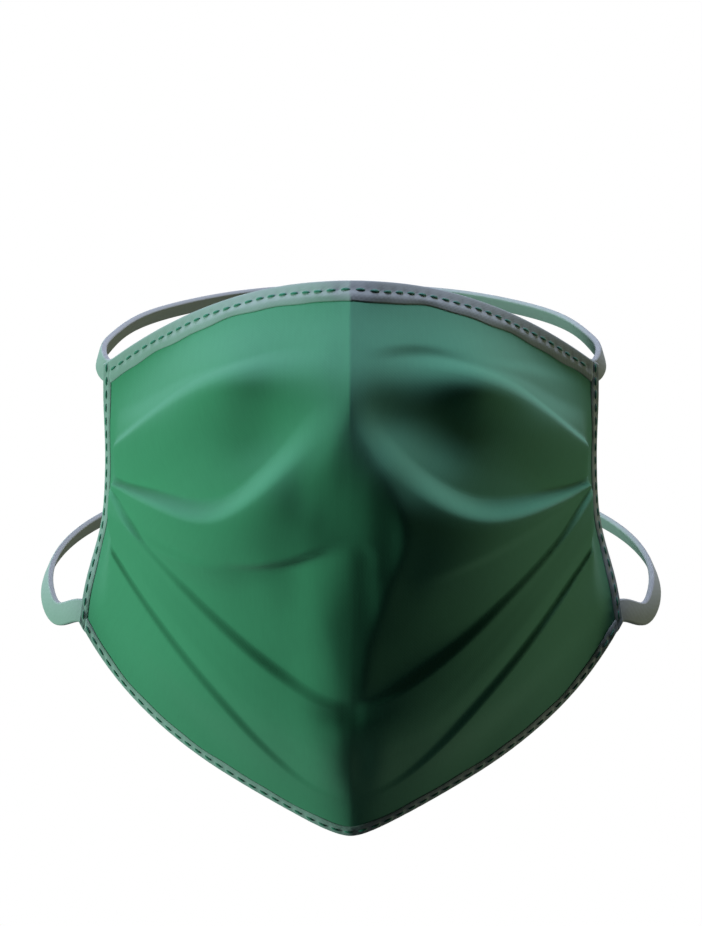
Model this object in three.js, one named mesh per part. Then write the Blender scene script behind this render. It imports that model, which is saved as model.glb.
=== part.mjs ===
// A pleated cloth face mask with taped edges and two flat elastic head straps.
// Millimetres, +Z up. The front faces -Y, the head goes in from +Y, and +X is to the right from the front.
// The origin lies on the inside of the mask at the middle of its top edge, where it sits on the nose bridge.
import * as THREE from "three";

const { clamp, smoothstep, lerp, degToRad } = THREE.MathUtils;

// Driving sizes
const CLOTH_THICK = 1.2;
const TAPE_THICK = 0.9;
const SEAM_GAP = 0.3;
const STRAP_GAP = 0.8;
const TOP_TAPE_REACH = 5.6;
const SIDE_TAPE_REACH = 3.0;
const BOTTOM_TAPE_REACH = 3.2;
const STRAP_WIDE = 6.6;
const STRAP_THICK = 2.0;

// How finely each piece is divided
const LONG_TAPE_STEPS = 36;
const SIDE_TAPE_STEPS = 22;
const STRAP_STEPS_PER_STRETCH = 4;

// Stations across each half of the cloth, from the nose line to the side edge: for its depth and for its folds
const DEPTH_STATIONS = [0, 0.07, 0.15, 0.28, 0.45, 0.7, 1];
const FOLD_STATIONS = [0, 0.2, 0.45, 1];

// Sections from the top edge (down 0) to the bottom edge (down 1). depth is Y at the seven stations. The crest
// bounds the front of the nose: crest is how far out it lies, turn the slope gained there for each half width.
const SECTIONS = [
  { name: "top edge", down: 0.0, depth: [-2, -0.9, 2.1, 8, 15.3, 28.6, 46], crest: -0.03, turn: 36 },
  { name: "bridge", down: 0.07, depth: [-10.5, -8.3, -5.5, -0.5, 7, 25, 45.7], crest: -0.03, turn: 38 },
  { name: "brow", down: 0.14, depth: [-20.5, -18.8, -16, -11.3, -5.8, 18.5, 45.5], crest: -0.02, turn: 40 },
  { name: "hollow", down: 0.21, depth: [-27, -25, -21.6, -16.2, -9.8, 12.5, 45.5], crest: 0, turn: 40 },
  { name: "nose", down: 0.28, depth: [-29.8, -28.9, -25.2, -19.2, -12.6, 9, 45.5], crest: 0.05, turn: 42 },
  { name: "nose ball", down: 0.36, depth: [-30.4, -30.2, -28.6, -22, -14, 6.5, 45.5], crest: 0.12, turn: 46 },
  { name: "nose tip", down: 0.45, depth: [-30, -29.9, -29.2, -24.6, -15.6, 5.5, 45.1], crest: 0.18, turn: 50 },
  { name: "lip", down: 0.54, depth: [-28.8, -28.6, -27.6, -23.8, -15.6, 5.5, 44.6], crest: 0.12, turn: 46 },
  { name: "mouth", down: 0.64, depth: [-27, -26.4, -24.1, -19.9, -12.6, 6, 43.7], crest: 0.06, turn: 42 },
  { name: "chin notch", down: 0.74, depth: [-23, -22, -19.7, -15.9, -9.5, 8, 42.4], crest: 0.05, turn: 38 },
  { name: "chin", down: 0.83, depth: [-15.5, -14.8, -12.9, -9.4, -2.4, 12, 40.7], crest: 0.05, turn: 34 },
  { name: "under chin", down: 0.91, depth: [-4, -3.4, -1.5, 2, 8, 19, 39.3], crest: 0.05, turn: 28 },
  { name: "bottom edge", down: 1.0, depth: [7, 7.5, 9, 12.3, 17, 26.5, 38], crest: 0.05, turn: 20 },
];
const CREST_ROUND = 0.03;

// Where the sections lie: level is Z on the nose line, half and sideLevel are X and Z on the side edge
const LEVELS = [
  { down: 0.0, level: -0.5, half: 68.6, sideLevel: -25 },
  { down: 0.14, level: -19, half: 68.7, sideLevel: -34.8 },
  { down: 0.28, level: -38.3, half: 68.5, sideLevel: -44.7 },
  { down: 0.45, level: -61.5, half: 68.7, sideLevel: -56.8 },
  { down: 0.64, level: -90.1, half: 70.1, sideLevel: -70.3 },
  { down: 0.83, level: -119.1, half: 73.7, sideLevel: -83.8 },
  { down: 1.0, level: -146.4, half: 75.9, sideLevel: -95.9 },
];

// The jaw line runs straight from the chin for this share of its rise, then hooks up to the side edge
const JAW = { straight: 0.645, hookPower: 5, chinRound: 0.05 };

// Pleats and creases. line is the place down the cloth and step the height at the fold stations, lip the
// width of the folded edge at the nose line and at the side, run the length that slopes back below it.
const FOLDS = {
  brow: { line: [0.18, 0.178, 0.188, 0.325], step: [0.3, 1.4, 2.6, 3], lip: [12, 10], run: 18, crisp: 0.6 },
  cheek: { line: [0.235, 0.352, 0.43, 0.457], step: [0, 2.3, 5.2, 3.2], lip: [9, 3.5], run: 24, crisp: 0.8 },
  mouth: { line: [0.46, 0.493, 0.525, 0.545], step: [-0.8, -0.9, 0, 0], lip: [2.8, 4], run: 14, crisp: 0 },
  jaw: { line: [0.735, 0.713, 0.655, 0.468], step: [0.6, 1.9, 2.2, 2.6], lip: [4, 3], run: 24, crisp: 0.9 },
  chin: { line: [0.93, 0.915, 0.815, 0.65], step: [0, 0.8, 2.1, 2.4], lip: [4, 3], run: 22, crisp: 0.9 },
};

// Soft dents, round in the cloth's own directions
const DENTS = [
  { name: "brow hollow", across: 0.36, down: 0.235, acrossHalf: 0.2, downHalf: 0.065, depth: 2.2 },
  { name: "nose pit", across: 0.21, down: 0.37, acrossHalf: 0.07, downHalf: 0.04, depth: 1.0 },
  { name: "chin notch", across: 0, down: 0.735, acrossHalf: 0.1, downHalf: 0.025, depth: 1.4 },
];

// Rows of the cloth follow the pleats: even rows above each one to the foot of its lip, then rows over the lip,
// which takes no more than a share of the band
const BANDS = [
  { above: "brow", evenRows: 5 },
  { above: "cheek", evenRows: 6 },
  { above: "jaw", evenRows: 9 },
  { above: "chin", evenRows: 7 },
];
const LIP_ROWS = 3;
const LIP_MOST = 0.6;
const LAST_ROWS = 6;

// Folds and dents flatten out under the side tapes, between these shares of the half width
const HEM = { from: 0.91, to: 0.968 };

// Straps, from where the end is sewn on behind the right side edge to the middle of the back of the head.
// lean turns the band's upper edge in towards the head.
const STRAPS = [
  {
    name: "upper_head_strap",
    sewn: [
      { down: 0.02, reach: 5 },
      { down: 0.005, reach: -2.5 },
    ],
    route: [
      { x: 71.4, y: 57, z: -24, lean: 14 },
      { x: 71.2, y: 72, z: -20.5, lean: 24 },
      { x: 67, y: 98, z: -16, lean: 38 },
      { x: 54, y: 130, z: -12.2, lean: 46 },
      { x: 32, y: 158, z: -9.5, lean: 48 },
      { x: 0, y: 171, z: -8.5, lean: 48 },
    ],
  },
  {
    name: "lower_head_strap",
    sewn: [
      { down: 0.955, reach: 4.5 },
      { down: 0.99, reach: -2.5 },
    ],
    route: [
      { x: 84, y: 49.5, z: -96.6, lean: 8 },
      { x: 88.6, y: 58, z: -93.2, lean: 16 },
      { x: 90.3, y: 72, z: -88, lean: 24 },
      { x: 86.5, y: 104, z: -83, lean: 32 },
      { x: 70, y: 140, z: -79, lean: 34 },
      { x: 40, y: 166, z: -77, lean: 34 },
      { x: 0, y: 177, z: -76, lean: 34 },
    ],
  },
];
const HEAD_AXIS = new THREE.Vector3(0, 95, 0);

// Slopes at the knots of the smoothest cubic through the values. The first slope may be given.
function knotSlopes(knots, values, firstSlope) {
  const last = knots.length - 1;
  const free = firstSlope === undefined;
  const gap = (i) => knots[i + 1] - knots[i];
  const chord = (i) => (values[i + 1] - values[i]) / gap(i);
  const carry = [free ? 0.5 : 0];
  const slope = [free ? 1.5 * chord(0) : firstSlope];
  for (let i = 1; i < last; i++) {
    const before = 1 / gap(i - 1);
    const after = 1 / gap(i);
    const weight = 2 * (before + after) - before * carry[i - 1];
    carry.push(after / weight);
    slope.push((3 * (chord(i - 1) * before + chord(i) * after) - before * slope[i - 1]) / weight);
  }
  slope.push((3 * chord(last - 1) - slope[last - 1]) / (2 - carry[last - 1]));
  for (let i = last - 1; i >= 0; i--) {
    slope[i] -= carry[i] * slope[i + 1];
  }
  return slope;
}

// The cubic through the knots, at x
function cubicAt(knots, values, slopes, x) {
  let i = 0;
  while (i < knots.length - 2 && x > knots[i + 1]) {
    i++;
  }
  const gap = knots[i + 1] - knots[i];
  const t = (x - knots[i]) / gap;
  const s = 1 - t;
  const ends = (1 + 2 * t) * s * s * values[i] + t * t * (3 - 2 * t) * values[i + 1];
  const bends = t * s * s * slopes[i] - t * t * s * slopes[i + 1];
  return ends + gap * bends;
}

// A value given at stations, at a share of the half width, level at the nose line
function acrossCloth(stations, values, share) {
  return cubicAt(stations, values, knotSlopes(stations, values, 0), share);
}

// A column of a table as a smooth function of the place down the cloth
function smoothColumn(rows, pick) {
  const downs = rows.map((row) => row.down);
  const values = rows.map(pick);
  const slopes = knotSlopes(downs, values);
  return (down) => cubicAt(downs, values, slopes, down);
}

const depthsAt = DEPTH_STATIONS.map((_, k) => smoothColumn(SECTIONS, (row) => row.depth[k]));
const crestAt = smoothColumn(SECTIONS, (row) => row.crest);
const turnAt = smoothColumn(SECTIONS, (row) => row.turn);
const levelAt = smoothColumn(LEVELS, (row) => row.level);
const halfAt = smoothColumn(LEVELS, (row) => row.half);
const sideLevelAt = smoothColumn(LEVELS, (row) => row.sideLevel);

// A rounded corner: 0 well below 0, x well above it
function bend(x) {
  return (x + Math.hypot(x, CREST_ROUND)) / 2;
}

// The cloth's depth: a rounded corner at the crest, and a cubic through what it leaves at the stations
function depthAt(share, v) {
  const corner = (place) => turnAt(v) * bend(place - crestAt(v));
  const rest = DEPTH_STATIONS.map((station, k) => depthsAt[k](v) - corner(station));
  return corner(share) + acrossCloth(DEPTH_STATIONS, rest, share);
}

// The cloth's face before it is folded. u runs from -1 on the left edge to 1 on the right, v runs down.
function plainCloth(u, v) {
  const share = Math.abs(u);
  const rounded = (a) => Math.hypot(a, JAW.chinRound) - JAW.chinRound;
  const straight = JAW.straight * (rounded(share) / rounded(1));
  const jaw = straight + (1 - JAW.straight) * share ** JAW.hookPower;
  const rise = lerp(share ** 2, jaw, v);
  return new THREE.Vector3(halfAt(v) * u, depthAt(share, v), lerp(levelAt(v), sideLevelAt(v), rise));
}

const NUDGE = 1e-3;

// A surface's rates of change and its outward normal at u, v
function surfaceFrame(surface, u, v) {
  const rate = (ahead, behind) => ahead.sub(behind).divideScalar(2 * NUDGE);
  const over = rate(surface(u + NUDGE, v), surface(u - NUDGE, v));
  const down = rate(surface(u, v + NUDGE), surface(u, v - NUDGE));
  const normal = new THREE.Vector3().crossVectors(down, over).normalize();
  return { over, down, normal };
}

// The course of a fold at a share of the half width: its place down, the distance off it for each unit down
// the cloth, and the width of its lip
function foldCourse(fold, share, frame) {
  const line = acrossCloth(FOLD_STATIONS, fold.line, share);
  const tilt = (acrossCloth(FOLD_STATIONS, fold.line, share + NUDGE) - line) / NUDGE;
  const rateDown = frame.down.length();
  const rate = rateDown / Math.hypot(1, (tilt * rateDown) / frame.over.length());
  return { line, rate, lip: lerp(fold.lip[0], fold.lip[1], share) };
}

// How far a fold stands out. Above its line a lip rises over its width, and below it the cloth slopes back.
function foldHeight(fold, share, v, frame) {
  const { line, rate, lip } = foldCourse(fold, share, frame);
  const distance = (v - line) * rate;
  const t = clamp((distance + lip) / lip, 0, 1);
  const rise = lerp(smoothstep(t, 0, 1), Math.sin((Math.PI / 2) * t), fold.crisp * share);
  return acrossCloth(FOLD_STATIONS, fold.step, share) * rise * (1 - smoothstep(distance, 0, fold.run));
}

// How far a dent goes in, a bell curve in both directions
function dentDepth(dent, share, v) {
  const across = (share - dent.across) / dent.acrossHalf;
  const down = (v - dent.down) / dent.downHalf;
  return dent.depth * Math.exp(-across * across - down * down);
}

// The folded cloth's face. Folds push it half along its normal and half to the front.
function foldedCloth(u, v) {
  const share = Math.abs(u);
  const frame = surfaceFrame(plainCloth, u, v);
  let push = 0;
  for (const fold of Object.values(FOLDS)) {
    push += foldHeight(fold, share, v, frame);
  }
  for (const dent of DENTS) {
    push -= dentDepth(dent, share, v);
  }
  push *= 1 - smoothstep(share, HEM.from, HEM.to);
  const way = frame.normal.clone().add(new THREE.Vector3(0, -1, 0)).normalize();
  return plainCloth(u, v).addScaledVector(way, push);
}

// The four edges: the cloth's place for a place along the edge and a share in from it, the direction that
// crosses the edge, and which way along it is out
const EDGES = {
  top: { place: (along, inward) => [along, inward], crossing: "down", out: -1 },
  bottom: { place: (along, inward) => [along, 1 - inward], crossing: "down", out: 1 },
  left: { place: (along, inward) => [inward - 1, along], crossing: "over", out: -1 },
  right: { place: (along, inward) => [1 - inward, along], crossing: "over", out: 1 },
};

// A point by an edge: reach is how far in from the edge it lies along the cloth, lift its height off the face
function byEdge(edge, along, reach, lift) {
  const crossing = surfaceFrame(foldedCloth, ...edge.place(along, 0))[edge.crossing];
  const rate = crossing.length();
  const [u, v] = edge.place(along, Math.max(reach, 0) / rate);
  const { normal } = surfaceFrame(foldedCloth, u, v);
  const beyond = Math.max(-reach, 0) / rate;
  return foldedCloth(u, v).addScaledVector(crossing, edge.out * beyond).addScaledVector(normal, lift);
}

// A closed skin through rings of points, with both ends capped by triangles of the rings' own points
function skin(rings, capTriangles) {
  const around = rings[0].length;
  const lastRing = (rings.length - 1) * around;
  const index = [];
  for (let start = 0; start < lastRing; start += around) {
    for (let k = 0; k < around; k++) {
      const a = start + k;
      const b = start + ((k + 1) % around);
      index.push(a, b, a + around, b, b + around, a + around);
    }
  }
  for (const [a, b, c] of capTriangles) {
    index.push(a, c, b, lastRing + a, lastRing + b, lastRing + c);
  }
  const geometry = new THREE.BufferGeometry().setFromPoints(rings.flat());
  geometry.setIndex(index);
  geometry.computeVertexNormals();
  return geometry;
}

// Evenly spaced numbers from one value to another, both included
function steps(from, to, count) {
  return Array.from({ length: count + 1 }, (_, k) => lerp(from, to, k / count));
}

// Long tapes stop just inside the side tapes, and the side tapes pass over the corners
const cornerRates = [0, 1].map((v) => surfaceFrame(foldedCloth, 1, v).over.length());
const longTapeEnd = 1 - (SIDE_TAPE_REACH + 2 * SEAM_GAP) / Math.min(...cornerRates);
const cornerOver = (TAPE_THICK + SEAM_GAP) / surfaceFrame(foldedCloth, 1, 0.5).down.length();
const longPlaces = steps(-longTapeEnd, longTapeEnd, LONG_TAPE_STEPS);
const sidePlaces = [-cornerOver, ...steps(0, 1, SIDE_TAPE_STEPS), 1 + cornerOver];

// The places down the cloth of its rows, at a share of the half width
function rowPlaces(share) {
  const places = [0];
  for (const { above, evenRows } of BANDS) {
    const fold = FOLDS[above];
    const frame = surfaceFrame(plainCloth, share, acrossCloth(FOLD_STATIONS, fold.line, share));
    const { line, rate, lip } = foldCourse(fold, share, frame);
    const start = places.at(-1);
    const foot = Math.max(line - lip / rate, lerp(line, start, LIP_MOST));
    places.push(...steps(start, foot, evenRows).slice(1), ...steps(foot, line, LIP_ROWS).slice(1));
  }
  return [...places, ...steps(places.at(-1), 1, LAST_ROWS).slice(1)];
}

// The cloth body, its face and its back a cloth's thickness behind
function clothBody() {
  const columns = [-1, ...longPlaces, 1];
  const rows = columns.map((u) => rowPlaces(Math.abs(u)).toReversed());
  const rings = rows[0].map((_, row) => {
    const face = columns.map((u, k) => foldedCloth(u, rows[k][row]));
    const back = columns.map((u, k) => {
      const { normal } = surfaceFrame(foldedCloth, u, rows[k][row]);
      return face[k].clone().addScaledVector(normal, -CLOTH_THICK);
    });
    return [...face, ...back.reverse()];
  });
  const opposite = (k) => 2 * columns.length - 1 - k;
  const rim = columns.slice(1).flatMap((_, k) => [
    [k, k + 1, opposite(k + 1)],
    [k, opposite(k + 1), opposite(k)],
  ]);
  return skin(rings, rim);
}

// The section of a folded tape as reach and lift, out over the face, round the edge and back behind the cloth
function tapeOutline(reach) {
  const near = SEAM_GAP;
  const far = SEAM_GAP + TAPE_THICK;
  const backNear = -CLOTH_THICK - near;
  const backFar = -CLOTH_THICK - far;
  const half = reach / 2;
  return [
    [reach, near],
    [reach, far],
    [half, far],
    [0, far],
    [-far, near],
    [-far, backNear],
    [0, backFar],
    [half, backFar],
    [reach, backFar],
    [reach, backNear],
    [half, backNear],
    [-near, backNear],
    [-near, near],
    [half, near],
  ].map(([x, y]) => new THREE.Vector2(x, y));
}

// A tape folded over an edge, through a list of places along it
function edgeTape(edge, reach, places) {
  const outline = tapeOutline(reach);
  const rings = places.map((along) => outline.map(({ x, y }) => byEdge(edge, along, x, y)));
  return skin(rings, THREE.ShapeUtils.triangulateShape(outline, []));
}

// A strap as a flat band along a smooth route, mirrored about the middle of the back
function headStrap({ sewn, route }) {
  const lift = -CLOTH_THICK - SEAM_GAP - TAPE_THICK - STRAP_GAP - STRAP_THICK / 2;
  const points = [];
  const widths = [];
  for (const { down, reach } of sewn) {
    points.push(byEdge(EDGES.right, down, reach, lift));
    widths.push(surfaceFrame(foldedCloth, 1, down).down.normalize().negate());
  }
  for (const { x, y, z, lean } of route) {
    const point = new THREE.Vector3(x, y, z);
    const inward = HEAD_AXIS.clone().sub(point).setZ(0).normalize();
    const turn = degToRad(lean);
    points.push(point);
    widths.push(inward.multiplyScalar(Math.sin(turn)).setZ(Math.cos(turn)));
  }
  const mirrored = (list) => list.slice(0, -1).reverse().map(({ x, y, z }) => new THREE.Vector3(-x, y, z));
  const loop = [...points, ...mirrored(points)];
  const path = new THREE.CatmullRomCurve3(loop);
  const width = new THREE.CatmullRomCurve3([...widths, ...mirrored(widths)]);
  const outline = [
    [STRAP_WIDE / 2, STRAP_THICK / 2],
    [-STRAP_WIDE / 2, STRAP_THICK / 2],
    [-STRAP_WIDE / 2, -STRAP_THICK / 2],
    [STRAP_WIDE / 2, -STRAP_THICK / 2],
  ].map(([x, y]) => new THREE.Vector2(x, y));
  const rings = steps(0, 1, STRAP_STEPS_PER_STRETCH * (loop.length - 1)).map((t) => {
    const centre = path.getPoint(t);
    const tangent = path.getTangent(t);
    const across = width.getPoint(t);
    across.addScaledVector(tangent, -across.dot(tangent)).normalize();
    const through = new THREE.Vector3().crossVectors(tangent, across);
    return outline.map(({ x, y }) => centre.clone().addScaledVector(across, x).addScaledVector(through, y));
  });
  return skin(rings, THREE.ShapeUtils.triangulateShape(outline, []));
}

const clothFinish = new THREE.MeshStandardMaterial({ color: 0x3d9468, roughness: 0.9, metalness: 0 });
const tapeFinish = new THREE.MeshStandardMaterial({ color: 0xa3b8ac, roughness: 0.85, metalness: 0 });
const strapFinish = new THREE.MeshStandardMaterial({ color: 0xa9b5ae, roughness: 0.8, metalness: 0 });

const mask = new THREE.Group();
mask.name = "cloth_face_mask";

function addPiece(name, geometry, finish) {
  const mesh = new THREE.Mesh(geometry, finish);
  mesh.name = name;
  mask.add(mesh);
}

addPiece("mask_body", clothBody(), clothFinish);
addPiece("top_binding", edgeTape(EDGES.top, TOP_TAPE_REACH, longPlaces.toReversed()), tapeFinish);
addPiece("bottom_binding", edgeTape(EDGES.bottom, BOTTOM_TAPE_REACH, longPlaces), tapeFinish);
addPiece("side_binding_left", edgeTape(EDGES.left, SIDE_TAPE_REACH, sidePlaces), tapeFinish);
addPiece("side_binding_right", edgeTape(EDGES.right, SIDE_TAPE_REACH, sidePlaces.toReversed()), tapeFinish);
for (const strap of STRAPS) {
  addPiece(strap.name, headStrap(strap), strapFinish);
}

export default mask;
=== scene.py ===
"""Pleated cloth face mask with taped, stitched edges and two elastic head straps.

Every piece is a surface worked out with numpy in millimetres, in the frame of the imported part: the front faces
-Y, +Z is up, and the origin is inside the mask at the middle of its top edge.
"""

from collections import namedtuple
from functools import partial

import bpy
import numpy as np
from bpy.props import FloatProperty, FloatVectorProperty, PointerProperty
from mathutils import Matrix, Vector


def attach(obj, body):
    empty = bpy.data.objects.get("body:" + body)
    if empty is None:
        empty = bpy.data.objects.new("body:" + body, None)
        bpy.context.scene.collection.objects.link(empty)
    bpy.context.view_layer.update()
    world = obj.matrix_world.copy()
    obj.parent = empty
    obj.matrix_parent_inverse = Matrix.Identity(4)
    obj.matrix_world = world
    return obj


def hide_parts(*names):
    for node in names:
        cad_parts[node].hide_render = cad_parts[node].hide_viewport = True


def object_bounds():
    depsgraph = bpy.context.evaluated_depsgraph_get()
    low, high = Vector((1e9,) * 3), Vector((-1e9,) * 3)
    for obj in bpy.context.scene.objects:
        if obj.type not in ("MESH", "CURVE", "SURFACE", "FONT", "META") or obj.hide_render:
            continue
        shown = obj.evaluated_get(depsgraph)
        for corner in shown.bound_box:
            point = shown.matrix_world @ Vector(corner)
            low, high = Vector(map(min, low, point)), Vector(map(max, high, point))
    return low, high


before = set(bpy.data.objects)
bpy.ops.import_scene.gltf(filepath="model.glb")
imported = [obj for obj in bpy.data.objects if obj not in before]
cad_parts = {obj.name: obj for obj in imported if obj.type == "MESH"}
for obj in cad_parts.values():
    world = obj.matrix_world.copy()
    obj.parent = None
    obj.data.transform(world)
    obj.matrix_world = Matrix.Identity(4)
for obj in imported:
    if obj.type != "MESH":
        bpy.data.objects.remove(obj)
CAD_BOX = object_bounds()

bl_info = {
    "name": "Cloth Face Mask",
    "version": (1, 0, 0),
    "blender": (4, 5, 0),
    "location": "View3D > Sidebar > Mask",
    "description": "Builds a pleated cloth face mask with taped edges and head straps",
    "category": "Object",
}

MM = 0.001
BODY = "root"

# ---- The cloth's shape, in millimetres. Places across are shares of the half width from the nose line to the side
# ---- edge, and places down are shares of the way from the top edge to the bottom edge.

# Places across where depths are given, and where the values of most folds are given
DEPTH_STATIONS = np.array([0.0, 0.07, 0.15, 0.28, 0.45, 0.7, 1.0])
FOLD_STATIONS = np.array([0.0, 0.2, 0.45, 1.0])

# Sections from the top edge to the bottom edge: Y at the seven depth stations, then the crest that bounds the front
# of the nose: its place across, and the slope gained there for each half width, on the right and on the softer left
Section = namedtuple("Section", "down nose front flank wing cheek outer back crest turn left_turn")
SECTIONS = [
    Section(0.00, -2.0, -0.9, 2.1, 8.0, 15.3, 28.6, 46.0, -0.03, 36, 36),
    Section(0.07, -10.5, -8.3, -5.5, -0.5, 7.0, 25.0, 45.7, -0.03, 38, 38),
    Section(0.14, -20.5, -18.8, -16.0, -11.3, -5.8, 18.5, 45.5, -0.02, 40, 40),
    Section(0.21, -27.0, -25.0, -21.6, -16.2, -9.8, 12.5, 45.5, 0.0, 40, 36),
    Section(0.28, -29.8, -29.0, -26.0, -20.0, -12.6, 9.0, 45.5, 0.06, 44, 18),
    Section(0.36, -30.4, -30.2, -29.2, -23.6, -14.2, 6.5, 45.5, 0.15, 50, 4),
    Section(0.45, -30.0, -29.9, -29.3, -25.2, -15.8, 5.5, 45.1, 0.185, 54, 0),
    Section(0.54, -28.8, -28.6, -27.6, -23.8, -15.6, 5.5, 44.6, 0.125, 46, 4),
    Section(0.64, -27.0, -26.4, -24.1, -19.9, -12.6, 6.0, 43.7, 0.06, 42, 18),
    Section(0.74, -23.0, -22.0, -19.7, -15.9, -9.5, 8.0, 42.4, 0.05, 40, 26),
    Section(0.83, -15.5, -14.7, -12.7, -9.2, -2.4, 12.0, 40.7, 0.02, 36, 32),
    Section(0.91, -4.0, -3.2, -1.3, 2.2, 8.0, 19.0, 39.3, 0.02, 32, 30),
    Section(1.00, 7.0, 7.6, 9.2, 12.5, 17.0, 26.5, 38.0, 0.02, 24, 24),
]
CREST_ROUND = 0.03

# Where the sections lie: Z on the nose line, X and Z on the side edge
Level = namedtuple("Level", "down level half side_level")
LEVELS = [
    Level(0.00, -0.5, 68.6, -25.0),
    Level(0.14, -19.0, 68.7, -34.8),
    Level(0.28, -38.3, 68.5, -44.7),
    Level(0.45, -61.5, 68.7, -56.8),
    Level(0.64, -90.1, 70.1, -70.3),
    Level(0.83, -119.1, 73.7, -83.8),
    Level(1.00, -146.4, 75.9, -95.9),
]

# The jaw line runs straight from the chin for a share of its rise, then hooks up to the side edge
Jaw = namedtuple("Jaw", "straight hook_power chin_round")
JAW = Jaw(0.645, 5.0, 0.05)

# Pleats and creases. half: -1 on the left, 1 on the right, 0 on both. line, step, tuck: place down, height, and
# overhang in lip widths, each at the four fold stations or the seven depth stations. lip_mid, lip_side: width of the
# lip at the nose line and at the side edge. run: length that slopes back below the line. crisp: how sharp the lip's
# foot is at the side edge.
Fold = namedtuple("Fold", "name half line step tuck lip_mid lip_side run crisp")
FLAT = (0, 0, 0, 0)
FOLDS = [
    Fold("left brow", -1, (0.172, 0.17, 0.178, 0.332), (0.3, 1.4, 2.4, 1.2), FLAT, 12, 10, 18, 0.6),
    Fold("right brow", 1, (0.172, 0.172, 0.178, 0.332), (0.1, 0.8, 2.4, 1.2), FLAT, 12, 10, 18, 0.6),
    Fold(
        "ridge", 0, (0.15, 0.147, 0.145, 0.148, 0.162, 0.226, 0.372), (0, 0, 0.1, 0.4, 0.9, 1.6, 2.2),
        (0, 0, 0.1, 0.5), 8, 5, 14, 0.95,
    ),
    Fold(
        "left cheek", -1, (0.255, 0.263, 0.297, 0.366, 0.434, 0.444, 0.457), (0, 0.3, 1.1, 3.6, 5.2, 5.3, 3.2),
        (0, 0, 0.1, 0.6), 9, 3.5, 18, 0.8,
    ),
    Fold(
        "right cheek", 1, (0.255, 0.290, 0.337, 0.392, 0.434, 0.444, 0.457), (0, 0.2, 1.0, 3.1, 5.2, 5.3, 3.2),
        (0, 0, 0.1, 0.6), 9, 3.5, 24, 0.8,
    ),
    Fold("mouth", -1, (0.46, 0.493, 0.525, 0.545), (0, -2.8, 0, 0), FLAT, 2.0, 4, 20, 0),
    Fold("right dimple", 1, (0.14, 0.128, 0.126, 0.13), (0, -1.1, 0, 0), FLAT, 5, 5, 14, 0),
    Fold("lip", 1, (0.5, 0.53, 0.515, 0.5), (0, 0, -0.9, 0), FLAT, 2.8, 4, 14, 0),
    Fold("jaw", 0, (0.735, 0.713, 0.655, 0.468), (0.6, 1.7, 1.6, 2.4), (0, 0.03, 0.12, 0.4), 4.2, 3.2, 24, 0.9),
    Fold("upper crease", 0, (0.78, 0.77, 0.71, 0.52), (0, 0, 0.15, 0.7), FLAT, 4, 4, 9, 0.5),
    Fold("lower crease", 0, (0.83, 0.82, 0.745, 0.565), (0, 0, 0.25, 0.6), FLAT, 4, 4, 9, 0.5),
    Fold("chin", 0, (0.93, 0.915, 0.815, 0.65), (0, 0.7, 1.5, 2.2), (0, 0.03, 0.12, 0.4), 4.2, 3.2, 22, 0.9),
]

# A fold on one half fades out over this share past the nose line
HALF_FADE = 0.1

# A tuck fades out over this length below its line, and moves the line down by this share of itself
TUCK_RUN = 9.0
TUCK_SHIFT = 0.52

# The way that folds push the cloth lies midway between its normal and this
FRONT = np.array([0.0, -1.0, 0.0])

# Soft dents, and swells with a depth below 0, on the halves as for the folds: their middle, and how far across and
# down they fall to about a third
Dent = namedtuple("Dent", "name half across down across_half down_half depth")
DENTS = [
    Dent("brow hollow", 0, 0.36, 0.255, 0.2, 0.075, 2.4),
    Dent("nose pit", -1, 0.17, 0.365, 0.07, 0.05, 0.9),
    Dent("nose tip", 1, 0.065, 0.39, 0.11, 0.09, -1.1),
    Dent("bridge hollow", 1, 0.12, 0.235, 0.12, 0.05, 1.6),
    Dent("chin front", 1, 0.03, 0.84, 0.06, 0.08, 1.0),
    Dent("mouth corner", -1, 0.29, 0.53, 0.09, 0.06, -0.9),
    Dent("chin swell", -1, 0.12, 0.76, 0.08, 0.2, -0.8),
    Dent("chin notch", 0, 0.0, 0.735, 0.1, 0.025, 1.4),
]

# Folds and dents flatten out under the side tapes, between these places across
HEM_FROM, HEM_TO = 0.91, 0.968

# Rows of the cloth follow the pleats: even rows above each one to the foot of its lip, then rows over the lip. A band
# is at least BAND_LEAST of the way down, and the lip takes LIP_MOST of it at most.
Band = namedtuple("Band", "above even_rows lip_rows")
BANDS = [Band("ridge", 24, 14), Band("cheek", 28, 14), Band("jaw", 40, 14), Band("chin", 26, 14)]
LAST_ROWS = 28
BAND_LEAST = 0.004
LIP_MOST = 0.6
CLOTH_COLUMNS = 216

# Step in u or v from which a surface's rates of change are worked out
NUDGE = 1e-3

# ---- Tapes, threads and straps, in millimetres

# A tape thins out over a length at its inner edges, down to a share of its thickness
TAPE_TAPER, TAPE_END = 2.0, 0.1

# Spacing of a tape's sections, and points of a section over the taper, along the rest of a leg and round the edge
TapeGrid = namedtuple("TapeGrid", "spacing taper leg turn")
TAPE_GRID = TapeGrid(0.5, 8, 9, 13)

# The long tapes go this far under the side tapes
TAPE_LAP = 0.2

# Waves that make a tape's inner edge uneven: height, length for each radian, and start. They grow from a share of
# the reach to its whole.
Wave = namedtuple("Wave", "height stretch start")
TAPE_WAVES = [Wave(0.20, 4.7, 0.6), Wave(0.16, 2.3, 1.9)]
WAVE_FROM = 0.55

# Where the row of stitches lies, as a share of a tape's reach, and how the stitches pull the tape in: half width and
# depth of the trough, further depth at each hole, how sharply that is drawn, and the share for the tape's inner wall
ROW_SHARE = 0.45
Pull = namedtuple("Pull", "half_wide depth hole_depth hole_power inner_share")
STITCH_PULL = Pull(1.1, 0.10, 0.16, 3, 0.25)

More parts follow.
